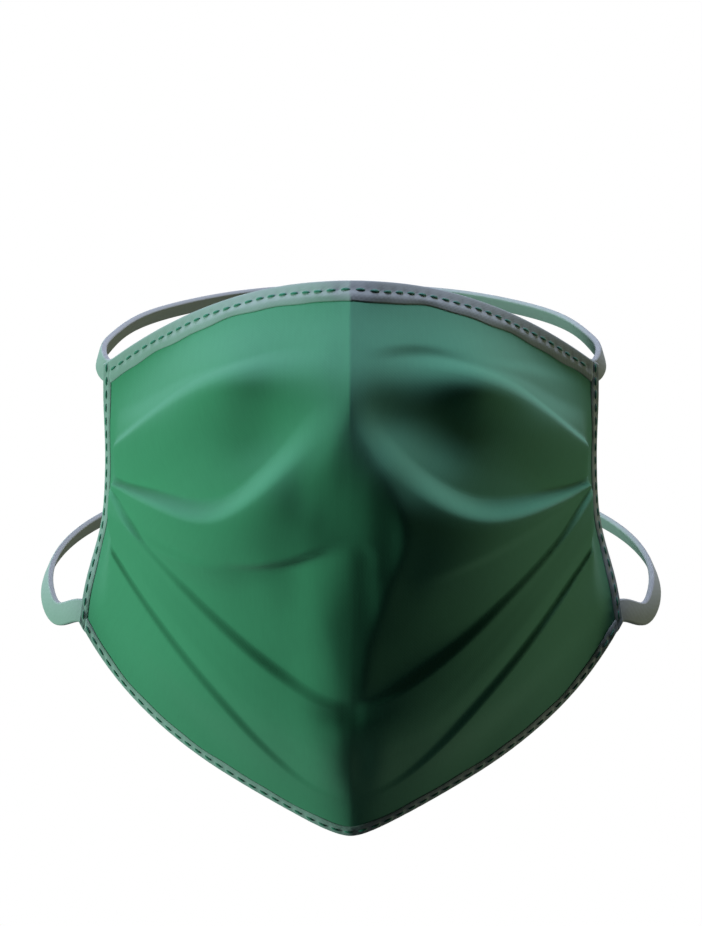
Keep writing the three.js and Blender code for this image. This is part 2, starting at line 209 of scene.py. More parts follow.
# A stitch: rings along it and corners round it, how far its ends thin, its height to each side as a share of the
# thread's width, and how deep its ends sink
Stitch = namedtuple("Stitch", "rings corners thin tall sink")
STITCH = Stitch(7, 6, 0.93, 0.32, 0.22)

# Stitches stray from their row by this much, in a wave with this turn from one stitch to the next
Stray = namedtuple("Stray", "height turn start")
STITCH_STRAY = Stray(0.10, 7.3, 0.4)

# Straps: where the end is sewn on behind the right side edge, then the route to the middle of the back of the head.
# Lean turns the band's upper edge in towards the head.
Sewn = namedtuple("Sewn", "down reach")
Stop = namedtuple("Stop", "x y z lean")
STRAPS = {
    "upper_head_strap": (
        [Sewn(0.02, 5.0), Sewn(0.005, -2.5)],
        [
            Stop(71.4, 57, -24, 14),
            Stop(71.2, 72, -20.5, 24),
            Stop(67, 98, -16, 38),
            Stop(54, 130, -12.2, 46),
            Stop(32, 158, -9.5, 48),
            Stop(0, 171, -8.5, 48),
        ],
    ),
    "lower_head_strap": (
        [Sewn(0.955, 4.5), Sewn(0.99, -2.5)],
        [
            Stop(84, 49.5, -96.6, 8),
            Stop(88.6, 58, -93.2, 16),
            Stop(90.3, 72, -88, 24),
            Stop(86.5, 104, -83, 32),
            Stop(70, 140, -79, 34),
            Stop(40, 166, -77, 34),
            Stop(0, 177, -76, 34),
        ],
    ),
}

# Y of the head's middle, which the leans turn to, and the room between a strap's end and the side tape before it
HEAD_AXIS_Y = 95.0
STRAP_ROOM = 0.4

# An elastic band: spacing of its sections, corners round a section, powers that square off its width and its
# thickness, number of ribs over its width, and their depth as a share of the thickness
Elastic = namedtuple("Elastic", "spacing corners wide_power thick_power ribs rib_depth")
ELASTIC = Elastic(0.9, 44, 0.28, 0.55, 7.0, 0.05)

# Stitches that sew down a strap's ends: distances of their rows from the end, their places across the band, how far
# out they sit as a share of half its thickness, and the spacing of the course they are placed on
Tacks = namedtuple("Tacks", "rows places seat spacing")
TACKS = Tacks((1.2, 3.2), (-1.7, 1.7), 0.97, 0.5)

# Points along an edge or a strap from which its lengths are added up, and spacing of the places for stitches
EDGE_POINTS, STRAP_POINTS = 600, 1500
STITCH_SPACING = 0.25

# ---- Finishes

# Each finish: its colour's name, threads for each metre over and down, strength of the weave's bump, roughness,
# uneven dye and sheen
Finish = namedtuple("Finish", "colour threads_over threads_down relief rough dye sheen")
FINISHES = {
    "green_cotton": Finish("cloth", 2200.0, 2200.0, 0.08, 0.92, 0.14, 0.12),
    "grey_tape": Finish("tape", 1500.0, 1500.0, 0.2, 0.9, 0.25, 0.1),
    "grey_elastic": Finish("strap", 900.0, 1100.0, 0.15, 0.85, 0.2, 0.1),
    "green_thread": Finish("thread", 2600.0, 2600.0, 0.4, 0.75, 0.3, 0.1),
}

# What all finishes share: specular level, roughness of the sheen, and depth of the weave
SHINE = 0.25
SHEEN_ROUGH = 0.6
WEAVE_DEEP = 0.12 * MM

# Noise: scale for each metre, detail, and its share in what it is added to. Slubs are drawn out down the cloth.
Noise = namedtuple("Noise", "scale detail share")
SLUBS = Noise(1400.0, 2.0, 0.1)
SLUB_STRETCH = 0.12
BROAD_DYE, FINE_DYE = Noise(28.0, 2.0, 0.6), Noise(420.0, 3.0, 0.4)

# ---- Stage

# Camera: focal length and frame height in pixels, height angle in degrees, point looked at and distance from it in
# millimetres, then the sensor's width in millimetres and the nearest distance shown in metres
Eye = namedtuple("Eye", "focal tall elevation aim reach")
EYE = Eye(1620.0, 926.0, 8.0, (0.0, 20.0, -48.7), 430.0)
SENSOR = 36.0
CLIP_NEAR = 0.01

# Soft studio lights: place and size in metres, power in watts, colour
Lamp = namedtuple("Lamp", "name place size power colour")
LAMPS = [
    Lamp("side_light", (-0.89, -0.13, -0.10), 0.28, 7.6, (0.55, 1.0, 0.83)),
    Lamp("top_light", (0.0, 0.12, 0.80), 0.40, 10.0, (0.70, 0.75, 1.0)),
    Lamp("far_light", (0.90, 0.30, -0.16), 0.40, 2.3, (0.93, 1.0, 0.71)),
]
LAMP_AIM = Vector((0.0, 0.0, -0.07))
AMBIENT, AMBIENT_COLOUR = 0.012, (0.9, 1.0, 0.97, 1.0)
WHITE = (1.0, 1.0, 1.0, 1.0)

# Floor: distance below the mask and half side in metres, and the grey that it throws back on the mask
FLOOR_BELOW = 0.30
FLOOR_HALF = 8.0
FLOOR_GREY = (0.08, 0.08, 0.08, 1.0)


class MaskSizes(bpy.types.PropertyGroup):
    """Sizes of the mask's pieces"""

    cloth_thick: FloatProperty(
        name="Cloth thickness", description="Wall of the pleated cloth", default=1.2 * MM, unit="LENGTH"
    )
    tape_thick: FloatProperty(
        name="Tape thickness", description="One layer of the binding tape", default=0.6 * MM, unit="LENGTH"
    )
    tape_gap: FloatProperty(
        name="Tape gap", description="Room between tape and cloth", default=0.06 * MM, unit="LENGTH"
    )
    top_reach: FloatProperty(
        name="Top tape reach", description="How far the top tape comes in", default=5.6 * MM, unit="LENGTH"
    )
    side_reach: FloatProperty(
        name="Side tape reach", description="How far a side tape comes in", default=3.0 * MM, unit="LENGTH"
    )
    bottom_reach: FloatProperty(
        name="Bottom tape reach", description="How far the bottom tape comes in", default=3.2 * MM, unit="LENGTH"
    )
    strap_wide: FloatProperty(
        name="Strap width", description="Width of the elastic", default=6.6 * MM, unit="LENGTH"
    )
    strap_thick: FloatProperty(
        name="Strap thickness", description="Thickness of the elastic", default=2.0 * MM, unit="LENGTH"
    )
    stitch_long: FloatProperty(
        name="Stitch length", description="Length of one stitch", default=2.5 * MM, unit="LENGTH"
    )
    stitch_pitch: FloatProperty(
        name="Stitch pitch", description="From one stitch to the next", default=3.6 * MM, unit="LENGTH"
    )
    thread_wide: FloatProperty(
        name="Thread width", description="Width of the sewing thread", default=0.8 * MM, unit="LENGTH"
    )


class MaskColours(bpy.types.PropertyGroup):
    """Colours of the mask's finishes"""

    cloth: FloatVectorProperty(
        name="Cloth", description="Green of the cloth", default=(0.066, 0.265, 0.145), subtype="COLOR", size=3
    )
    tape: FloatVectorProperty(
        name="Tape", description="Grey of the binding tape", default=(0.34, 0.38, 0.355), subtype="COLOR", size=3
    )
    strap: FloatVectorProperty(
        name="Strap", description="Grey of the elastic", default=(0.37, 0.39, 0.37), subtype="COLOR", size=3
    )
    thread: FloatVectorProperty(
        name="Thread", description="Dark green of the stitches", default=(0.05, 0.21, 0.14), subtype="COLOR", size=3
    )


def smooth(low, high, x):
    """0 below low, 1 above high and a smooth S between them."""
    t = np.clip((x - low) / (high - low), 0.0, 1.0)
    return t * t * (3.0 - 2.0 * t)


def unit(vectors):
    """Vectors of length one."""
    return vectors / np.linalg.norm(vectors, axis=-1, keepdims=True)


def running_length(points, axis=0):
    """Length along a path, or one way over a grid of points, from its start to each point."""
    steps = np.linalg.norm(np.diff(points, axis=axis), axis=-1)
    return np.concatenate([np.zeros_like(steps.take([0], axis)), np.cumsum(steps, axis=axis)], axis=axis)


def knot_slopes(knots, values, first_slope=None):
    """Slopes at the knots of the smoothest cubic through the values.

    Each inner knot's slope balances the chords on its two sides; the ends are free, or the first slope is given.
    """
    count = len(knots)
    gap = np.diff(knots)
    chord = np.diff(values, axis=0) / gap.reshape(-1, *[1] * (values.ndim - 1))
    rule = np.zeros((count, count))
    goal = np.zeros_like(values)
    rule[0, :2] = (2.0, 1.0) if first_slope is None else (1.0, 0.0)
    goal[0] = 3.0 * chord[0] if first_slope is None else first_slope
    for i in range(1, count - 1):
        before, after = 1.0 / gap[i - 1], 1.0 / gap[i]
        rule[i, i - 1 : i + 2] = before, 2.0 * (before + after), after
        goal[i] = 3.0 * (chord[i - 1] * before + chord[i] * after)
    rule[-1, -2:] = 1.0, 2.0
    goal[-1] = 3.0 * chord[-1]
    return np.linalg.solve(rule, goal.reshape(count, -1)).reshape(values.shape)


def cubic_at(knots, values, slopes, x):
    """The cubic with those values and slopes at the knots, at x.

    Between two knots it is the sum of their values and slopes, each times a cubic weight. Tables with more axes have
    their own values for each x.
    """
    i = np.clip(np.searchsorted(knots, x) - 1, 0, len(knots) - 2)
    gap = knots[i + 1] - knots[i]
    t = (x - knots[i]) / gap
    s = 1.0 - t

    def pick(table, k):
        return table[k] if table.ndim == 1 else np.take_along_axis(table, k[None], 0)[0]

    ends = (1.0 + 2.0 * t) * s * s * pick(values, i) + t * t * (3.0 - 2.0 * t) * pick(values, i + 1)
    bends = t * s * s * pick(slopes, i) - t * t * s * pick(slopes, i + 1)
    return ends + gap * bends


def across_cloth(values, share):
    """A value given at the four fold stations or the seven depth stations, at a share of the half width."""
    values = np.asarray(values, float)
    stations = FOLD_STATIONS if len(values) == len(FOLD_STATIONS) else DEPTH_STATIONS
    return cubic_at(stations, values, knot_slopes(stations, values, 0.0), share)


def smooth_columns(rows):
    """A table's columns as smooth functions of the first one."""
    knots, *columns = np.array(rows, float).T
    return [partial(cubic_at, knots, column, knot_slopes(knots, column)) for column in columns]


SECTION_COLUMNS = smooth_columns(SECTIONS)
LEVEL_COLUMNS = smooth_columns(LEVELS)


def bend(x):
    """0 well below 0, x well above it and a rounded corner between."""
    return 0.5 * (x + np.hypot(x, CREST_ROUND))


def plain_cloth(u, v):
    """The cloth before it is folded, in millimetres.

    u runs from -1 on the left edge to 1 on the right and v from 0 at the top to 1 at the bottom. X is u times the
    half width. Y goes through the depths at the stations: it is a rounded bend at the crest plus a cubic through
    what the bend leaves. Z goes from the nose line's level to the side edge's by a parabola at the top that turns
    into the jaw's straight and hooked line at the bottom.
    """
    share = np.abs(u)
    *depths, crest, turn, left_turn = [column(v) for column in SECTION_COLUMNS]
    turn = np.where(u < 0.0, left_turn, turn)
    level, half, side_level = [column(v) for column in LEVEL_COLUMNS]
    stations = DEPTH_STATIONS.reshape(-1, *[1] * np.ndim(share))
    left = np.stack(depths) - turn * bend(stations - crest)
    y = turn * bend(share - crest) + cubic_at(DEPTH_STATIONS, left, knot_slopes(DEPTH_STATIONS, left, 0.0), share)
    straight = np.hypot(share, JAW.chin_round) - JAW.chin_round
    straight = JAW.straight * straight / (np.hypot(1.0, JAW.chin_round) - JAW.chin_round)
    jaw = straight + (1.0 - JAW.straight) * share**JAW.hook_power
    rise = (1.0 - v) * share**2 + v * jaw
    return np.stack([half * u, y, level + (side_level - level) * rise], axis=-1)


def surface_rates(surface, u, v):
    """A surface's rates of change over u and down v, and its outward normal, from small steps to both sides."""
    over = (surface(u + NUDGE, v) - surface(u - NUDGE, v)) / (2.0 * NUDGE)
    down = (surface(u, v + NUDGE) - surface(u, v - NUDGE)) / (2.0 * NUDGE)
    return over, down, unit(np.cross(down, over))


def fold_course(fold, share, over, down, tucked):
    """A fold's place down the cloth, its distance for each unit down, its slant, lip width and tuck.

    The distance is measured square to the fold's line, and the slant is the line's fall for each length across.
    """
    line = across_cloth(fold.line, share)
    tilt = (across_cloth(fold.line, share + NUDGE) - line) / NUDGE
    rate_down = np.linalg.norm(down, axis=-1)
    slant = tilt * rate_down / np.linalg.norm(over, axis=-1)
    rate = rate_down / np.hypot(1.0, slant)
    lip = fold.lip_mid + (fold.lip_side - fold.lip_mid) * share
    tuck = lip * np.clip(across_cloth(fold.tuck, share), 0.0, None) if tucked else 0.0 * lip
    return line + TUCK_SHIFT * tuck / rate, rate, slant, lip, tuck


def folded_cloth(u, v, tucked=False):
    """The cloth with its pleats, creases and dents, in millimetres.

    Above a fold's line a lip rises over its width, and below the line the cloth slopes back over its run. The push
    is half along the normal and half to the front. A tucked lip also slides up over its own foot, so the pleat
    overhangs. A fold on one half fades out past the nose line. Dents are bell curves.
    """
    share = np.abs(u)
    over, down, normal = surface_rates(plain_cloth, u, v)
    push = np.zeros_like(share)
    slide = np.zeros_like(normal)
    for fold in FOLDS:
        line, rate, slant, lip, tuck = fold_course(fold, share, over, down, tucked)
        distance = (v - line) * rate
        t = np.clip((distance + lip) / lip, 0.0, 1.0)
        crisp = fold.crisp * share
        rise = (1.0 - crisp) * smooth(0.0, 1.0, t) + crisp * np.sin(0.5 * np.pi * t)
        here = smooth(-HALF_FADE, 0.0, fold.half * u) if fold.half else 1.0
        push += here * across_cloth(fold.step, share) * rise * (1.0 - smooth(0.0, fold.run, distance))
        upward = unit(unit(over) * (np.sign(u) * slant)[..., None] - unit(down))
        amount = here * tuck * smooth(0.0, 1.0, t) * (1.0 - smooth(0.0, TUCK_RUN, distance))
        slide += upward * amount[..., None]
    for dent in DENTS:
        across = ((dent.half * u if dent.half else share) - dent.across) / dent.across_half
        below = (v - dent.down) / dent.down_half
        push -= dent.depth * np.exp(-across * across - below * below)
    hem = 1.0 - smooth(HEM_FROM, HEM_TO, share)
    way = unit(normal + FRONT)
    return plain_cloth(u, v) + (way * push[..., None] + slide) * hem[..., None]


# The four edges: the cloth's place for a place along the edge and a share in from it, which rate crosses the edge,
# and which way along that rate is out
Edge = namedtuple("Edge", "place crossing out")
EDGES = {
    "top": Edge(lambda along, inward: (along, inward), 1, -1.0),
    "bottom": Edge(lambda along, inward: (along, 1.0 - inward), 1, 1.0),
    "left": Edge(lambda along, inward: (inward - 1.0, along), 0, -1.0),
    "right": Edge(lambda along, inward: (1.0 - inward, along), 0, 1.0),
}


def by_edge(edge, along, reach, lift):
    """Points by an edge: reach is how far in from it they lie along the cloth, lift their height off its face.

    Points with a reach below 0 lie straight out past the edge.
    """
    along, reach, lift = np.broadcast_arrays(along, reach, lift)
    crossing = surface_rates(folded_cloth, *edge.place(along, 0.0 * along))[edge.crossing]
    rate = np.linalg.norm(crossing, axis=-1)
    u, v = edge.place(along, np.clip(reach, 0.0, None) / rate)
    normal = surface_rates(folded_cloth, u, v)[2]
    beyond = edge.out * np.clip(-reach, 0.0, None) / rate
    return folded_cloth(u, v) + crossing * beyond[..., None] + normal * lift[..., None]


def even_places(edge, start, end, spacing):
    """Places along an edge about a spacing apart, by its length, with the lengths from the start."""
    fine = np.linspace(start, end, EDGE_POINTS)
    length = running_length(folded_cloth(*edge.place(fine, 0.0 * fine)))
    along = np.linspace(0.0, length[-1], 2 * int(round(length[-1] / spacing / 2)) + 1)
    return np.interp(along, length, fine), along


def piece_from(name, points, faces, material, uv=None, replaces=None):
    """A mesh object from points in millimetres and faces as arrays of corner numbers, turned to face outwards.

    Faces point outwards where the sum of the volumes between them and the origin is above 0.
    """
    volume = 0.0
    for block in faces:
        a, b, c = points[block[:, 0]], points[block[:, 1:-1]], points[block[:, 2:]]
        volume += np.einsum("fk,fnk->", a, np.cross(b, c))
    if volume < 0.0:
        faces = [block[:, ::-1] for block in faces]
    corners = np.concatenate([block.ravel() for block in faces]).astype(np.int32)
    totals = np.concatenate([np.full(len(block), block.shape[1]) for block in faces]).astype(np.int32)
    mesh = bpy.data.meshes.new(name)
    mesh.vertices.add(len(points))
    mesh.vertices.foreach_set("co", (points * MM).astype(np.float32).ravel())
    mesh.loops.add(len(corners))
    mesh.loops.foreach_set("vertex_index", corners)
    mesh.polygons.add(len(totals))
    mesh.polygons.foreach_set("loop_start", (np.cumsum(totals) - totals).astype(np.int32))
    mesh.polygons.foreach_set("use_smooth", np.ones(len(totals), bool))
    mesh.update(calc_edges=True)
    if uv is not None:
        layer = mesh.uv_layers.new(name="UVMap")
        layer.data.foreach_set("uv", (uv * MM).astype(np.float32)[corners].ravel())
    if mesh.validate():
        raise RuntimeError(f"{name} has faulty faces")
    mesh.materials.append(material)
    piece = bpy.data.objects.new(name, mesh)
    bpy.context.scene.collection.objects.link(piece)
    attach(piece, BODY)
    if replaces:
        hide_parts(replaces)
    return piece


def shell_faces(rows, columns):
    """Quads of a closed shell of two walls of rows times columns points, the first wall's points numbered first."""
    wall = rows * columns
    k = (np.arange(rows - 1)[:, None] * columns + np.arange(columns - 1)).ravel()
    front = np.stack([k, k + columns, k + columns + 1, k + 1], axis=1)
    back = front[:, ::-1] + wall
    top = np.arange(columns - 1)
    low = top + wall - columns
    start = np.arange(rows - 1) * columns
    end = start + columns - 1
    rims = [
        np.stack([top, top + 1, top + 1 + wall, top + wall], axis=1),
        np.stack([low + 1, low, low + wall, low + 1 + wall], axis=1),
        np.stack([start + columns, start, start + wall, start + columns + wall], axis=1),
        np.stack([end, end + columns, end + columns + wall, end + wall], axis=1),
    ]
    return [np.concatenate([front, back, *rims])]


def tube_faces(rings, around, copies=1):
    """Quads and end caps of closed tubes of rings times around points, one after another."""
    first = np.arange(copies)[:, None, None] * rings * around
    ring = np.arange(rings - 1)[None, :, None] * around
    k = np.arange(around)[None, None, :]
    a = (first + ring + k).ravel()
    b = (first + ring + (k + 1) % around).ravel()
    sides = np.stack([a, b, b + around, a + around], axis=1)
    start = first[:, 0]
    caps = np.concatenate([start + np.arange(around)[::-1], start + (rings - 1) * around + np.arange(around)])
    return [sides, caps]


def row_places(u):
    """The places down the cloth of its rows, one column for each u: rows follow the pleats and crowd on their lips.

    Where a pleat has a course for each half, the left one counts left of the nose line.
    """
    share = np.abs(u)
    start = np.zeros_like(share)
    blocks = [start[None]]

    def add_rows(end, count):
        blocks.append(start + (end - start) * np.linspace(0.0, 1.0, count + 1)[1:, None])

    for band in BANDS:
        courses = []
        for fold in [fold for fold in FOLDS if fold.name.endswith(band.above)]:
            over, down, _ = surface_rates(plain_cloth, u, across_cloth(fold.line, share))
            courses.append(fold_course(fold, share, over, down, True))
        line, rate, _, lip, _ = np.where(u < 0.0, courses[0], courses[-1])
        line = np.maximum(line, start + BAND_LEAST)
        foot = np.maximum(line - lip / rate, line + (start - line) * LIP_MOST)
        add_rows(foot, band.even_rows)
        start = foot
        add_rows(line, band.lip_rows)
        start = line
    add_rows(1.0, LAST_ROWS)
    return np.concatenate(blocks)


def grid_lengths(points):
    """Lengths over and down a grid of points: over from its middle column, down from its first row."""
    over = running_length(points, axis=1)
    over = over - over[:, over.shape[1] // 2, None]
    return np.stack([over, running_length(points, axis=0)], axis=-1)


def shell_piece(name, face, back, lengths, material, slot, replaces):
    """A closed shell from the grids of its two walls, with the lengths over its cloth as UV."""
    points = np.concatenate([face.reshape(-1, 3), back.reshape(-1, 3)])
    uv = lengths.reshape(-1, 2)
    faces = shell_faces(*face.shape[:2])
    return piece_from(name, points, faces, material, np.concatenate([uv, uv]), replaces)


def cloth_body(sizes, material):
    """The pleated cloth: a closed shell whose face is the tucked surface and whose back lies a cloth's thickness
    behind the untucked one."""
    u = np.linspace(-1.0, 1.0, CLOTH_COLUMNS + 1)
    v = row_places(u)
    u = np.broadcast_to(u, v.shape)
    face = folded_cloth(u, v, tucked=True)
    plain = folded_cloth(u, v)
    back = plain - surface_rates(folded_cloth, u, v)[2] * sizes.cloth_thick / MM
    return shell_piece("cloth_body", face, back, grid_lengths(plain), material, "cloth", "mask_body")


# A tape: the CAD node it replaces, its edge, how far in it reaches, and its range along the edge
Tape = namedtuple("Tape", "node edge reach start end")


def edge_tapes(sizes):
    """The four tapes. The long tapes stop inside the side tapes, and the side tapes pass over the corners."""
    over, down, _ = surface_rates(folded_cloth, np.ones(2), np.array([0.0, 1.0]))
    side = sizes.side_reach / MM
    top, bottom = 1.0 - (side - TAPE_LAP) / np.linalg.norm(over, axis=-1)
    past = (sizes.tape_thick + sizes.tape_gap) / MM / np.linalg.norm(down, axis=-1).mean()
    return [
        Tape("top_binding", EDGES["top"], sizes.top_reach / MM, -top, top),
        Tape("bottom_binding", EDGES["bottom"], sizes.bottom_reach / MM, -bottom, bottom),
        Tape("side_binding_left", EDGES["left"], side, -past, 1.0 + past),
        Tape("side_binding_right", EDGES["right"], side, -past, 1.0 + past),
    ]


def tape_section(sizes, reach, inner):
    """The section of a folded tape as reach and lift: in along the front leg, round the cloth's edge in half an
    ellipse, and back along the other leg. The outer wall of each leg thins out to its end by a sine."""
    cloth = sizes.cloth_thick / MM
    gap = sizes.tape_gap / MM
    thick = 0.0 if inner else sizes.tape_thick / MM
    taper = min(TAPE_TAPER, 0.5 * reach)
    leg = np.concatenate([np.linspace(0.0, taper, TAPE_GRID.taper), np.linspace(taper, reach, TAPE_GRID.leg)[1:]])
    swell = TAPE_END + (1.0 - TAPE_END) * np.sin(0.5 * np.pi * np.clip(leg / taper, 0.0, 1.0))
    lift = cloth / 2 + gap + thick * swell
    turn = np.linspace(0.0, np.pi, TAPE_GRID.turn)[1:-1]
    front = np.stack([reach - leg, lift - cloth / 2], axis=1)
    stand = cloth / 2 + gap + thick
    round_edge = np.stack([-(gap + thick) * np.sin(turn), stand * np.cos(turn) - cloth / 2], axis=1)
    rear = np.stack([(reach - leg)[::-1], -lift[::-1] - cloth / 2], axis=1)
    return np.concatenate([front, round_edge, rear])


def edge_tape(tape, sizes, material):
    """A tape folded over an edge: its section carried along the edge, a little uneven along its inner edge, and
    dipped in a bell-shaped trough where the stitches pull it in, deepest at their holes."""
    along, length = even_places(tape.edge, tape.start, tape.end, TAPE_GRID.spacing)
    row = ROW_SHARE * tape.reach
    sway = sum(wave.height * np.sin(length / wave.stretch + wave.start) for wave in TAPE_WAVES)
    hole = 0.5 + 0.5 * np.cos(2.0 * np.pi * length / (sizes.stitch_pitch / MM))
    trough = STITCH_PULL.depth + STITCH_PULL.hole_depth * hole[:, None] ** STITCH_PULL.hole_power
    middle = -sizes.cloth_thick / MM / 2
    walls = []
    for inner, share in ((False, 1.0), (True, STITCH_PULL.inner_share)):
        section = tape_section(sizes, tape.reach, inner)
        reach, lift = np.broadcast_to(section.T[:, None], (2, len(along), len(section)))
        reach = reach + smooth(WAVE_FROM * tape.reach, tape.reach, reach) * sway[:, None]
        dip = np.exp(-(((reach - row) / STITCH_PULL.half_wide) ** 2)) * trough
        lift = lift - np.sign(lift - middle) * dip * share
        walls.append(by_edge(tape.edge, along[:, None], reach, lift))
    return shell_piece(tape.node + "_tape", *walls, grid_lengths(walls[0]), material, "binding", tape.node)


def stitch_points(sizes):
    """One stitch as rings: places along it, then offsets across it and up. Its thickness is half an ellipse along
    it, and its ends sink by the fourth power of the place."""
    rings = np.linspace(-1.0, 1.0, STITCH.rings)
    turn = np.linspace(0.0, 2.0 * np.pi, STITCH.corners + 1)[:-1]
    thick = np.sqrt(1.0 - STITCH.thin * rings**2)[:, None]
    along = rings * sizes.stitch_long / MM / 2
    across = 0.5 * sizes.thread_wide / MM * thick * np.cos(turn)
    up = STITCH.tall * sizes.thread_wide / MM * thick * np.sin(turn) - STITCH.sink * rings[:, None] ** 4
    return along, across, up


def tape_stitches(tape, sizes, material):
    """A row of stitches along a tape, on its face and on its back: one thread shape at each step of the pitch."""
    fine, length = even_places(tape.edge, tape.start, tape.end, STITCH_SPACING)
    pitch = sizes.stitch_pitch / MM
    number = np.arange(int(length[-1] // pitch))
    along, across, up = stitch_points(sizes)
    place = np.interp(((number + 0.5) * pitch)[:, None] + along, length, fine)[:, :, None]
    stray = STITCH_STRAY.height * np.sin(STITCH_STRAY.turn * number + STITCH_STRAY.start)
    row = ROW_SHARE * tape.reach + stray[:, None, None]
    stand = sizes.tape_gap / MM + sizes.tape_thick / MM
    front = by_edge(tape.edge, place, row + across, stand + up)
    rear = by_edge(tape.edge, place, row + across, -sizes.cloth_thick / MM - stand - up)
    points = np.concatenate([front.reshape(-1, 3), rear[:, :, ::-1].reshape(-1, 3)])
    faces = tube_faces(len(along), across.shape[1], 2 * len(number))
    return piece_from(tape.node + "_stitches", points, faces, material)


def strap_course(name, sizes, spacing):
    """A strap's middle line, the unit vectors along it, across its width and through it, and its lengths.

    The line is a cubic through the sewn ends and the stops, mirrored about the middle of the back, over the root of
    the distances between them.
    """
    sewn, route = STRAPS[name]
    lift = -(sizes.cloth_thick + sizes.tape_gap + sizes.tape_thick + sizes.strap_thick / 2) / MM - STRAP_ROOM
    down, reach = np.array(sewn).T
    ends = by_edge(EDGES["right"], down, reach, lift + 0.0 * down)
    ends_up = -unit(surface_rates(folded_cloth, 1.0 + 0.0 * down, down)[1])
    stops = np.array([(stop.x, stop.y, stop.z) for stop in route], float)
    lean = np.radians([stop.lean for stop in route])[:, None]
    inward = unit((np.array([0.0, HEAD_AXIS_Y, 0.0]) - stops) * np.array([1.0, 1.0, 0.0]))
    stops_up = inward * np.sin(lean) + np.array([0.0, 0.0, 1.0]) * np.cos(lean)
    mirror = np.array([-1.0, 1.0, 1.0])
    line = np.concatenate([ends, stops])
    wide = np.concatenate([ends_up, stops_up])
    line = np.concatenate([line, line[-2::-1] * mirror])
    wide = np.concatenate([wide, wide[-2::-1] * mirror])
    step = np.sqrt(np.linalg.norm(np.diff(line, axis=0), axis=-1))
    knots = np.concatenate([[0.0], np.cumsum(step)])

    def along(table, x):
        slopes = knot_slopes(knots, table)
        return np.stack([cubic_at(knots, table[:, k], slopes[:, k], x) for k in range(3)], axis=-1)

    fine = np.linspace(0.0, knots[-1], STRAP_POINTS)
    length = running_length(along(line, fine))
    even = np.linspace(0.0, length[-1], int(round(length[-1] / spacing)) + 1)
    x = np.interp(even, length, fine)
    centre = along(line, x)
    tangent = unit(np.gradient(centre, even, axis=0))
    across = along(wide, x)
    across = unit(across - tangent * np.sum(across * tangent, axis=-1, keepdims=True))
    return centre, tangent, across, np.cross(tangent, across), even


def head_strap(name, sizes, material):
    """A flat elastic band: a rounded oblong with fine ribs along its faces, carried along the strap's course.

    The oblong is a circle with the powers of its cosine and sine lowered, and the ribs are a cosine over its width.
    """
    centre, _, across, through, length = strap_course(name, sizes, ELASTIC.spacing)
    turn = np.linspace(0.0, 2.0 * np.pi, ELASTIC.corners + 1)[:-1]
    wide, thick = sizes.strap_wide / MM / 2, sizes.strap_thick / MM / 2
    x = wide * np.sign(np.cos(turn)) * np.abs(np.cos(turn)) ** ELASTIC.wide_power
    y = thick * np.sign(np.sin(turn)) * np.abs(np.sin(turn)) ** ELASTIC.thick_power
    y = y * (1.0 - ELASTIC.rib_depth * (0.5 - 0.5 * np.cos(2.0 * np.pi * ELASTIC.ribs * x / (2.0 * wide))))
    points = centre[:, None] + across[:, None] * x[:, None] + through[:, None] * y[:, None]
    around = np.broadcast_to(x + wide * (np.sin(turn) < 0.0) * 2.0, points.shape[:2])
    uv = np.stack([np.broadcast_to(length[:, None], points.shape[:2]), around], axis=-1)
    faces = tube_faces(*points.shape[:2])
    return piece_from(name + "_band", points.reshape(-1, 3), faces, material, uv.reshape(-1, 2), name)


def strap_tacks(name, sizes, material):
    """Stitches that sew a strap's two ends down: short rows across the band on its inner face."""
    centre, tangent, across, through, length = strap_course(name, sizes, TACKS.spacing)
    along, over, up = stitch_points(sizes)
    seat = sizes.strap_thick / MM / 2 * TACKS.seat
    tacks = []
    for row in TACKS.rows:
        for end in (row, length[-1] - row):
            k = int(np.argmin(np.abs(length - end)))
            inner = through[k] * np.sign(through[k, 1])
            for place in TACKS.places:
                rings = centre[k] + across[k] * place + inner * seat + across[k] * along[:, None, None]
                tacks.append(rings + tangent[k] * over[..., None] + inner * up[..., None])
    faces = tube_faces(len(along), over.shape[1], len(tacks))
    return piece_from(name + "_tacks", np.stack(tacks).reshape(-1, 3), faces, material)


def join(tree, value, target):
    """Joins a socket to an input, or sets the input to a plain value."""
    if isinstance(value, bpy.types.NodeSocket):
        tree.links.new(value, target)
    else:
        target.default_value = value


def maths(tree, operation, *values):
    """A Math node's result."""
    node = tree.nodes.new("ShaderNodeMath")
    node.operation = operation
    for value, target in zip(values, node.inputs):
        join(tree, value, target)
    return node.outputs[0]


def noise(tree, vector, row):
    """A Noise Texture's value."""
    node = tree.nodes.new("ShaderNodeTexNoise")
    join(tree, vector, node.inputs["Vector"])
    node.inputs["Scale"].default_value = row.scale
    node.inputs["Detail"].default_value = row.detail
    return node.outputs["Fac"]


def new_group(name, inputs, outputs):
    """An empty shader node group with named sockets, and its input and output nodes' sockets."""
    tree = bpy.data.node_groups.new(name, "ShaderNodeTree")
    for label, kind in inputs:
        tree.interface.new_socket(label, in_out="INPUT", socket_type=kind)
    for label, kind in outputs:
        tree.interface.new_socket(label, in_out="OUTPUT", socket_type=kind)
    return tree, tree.nodes.new("NodeGroupInput").outputs, tree.nodes.new("NodeGroupOutput").inputs


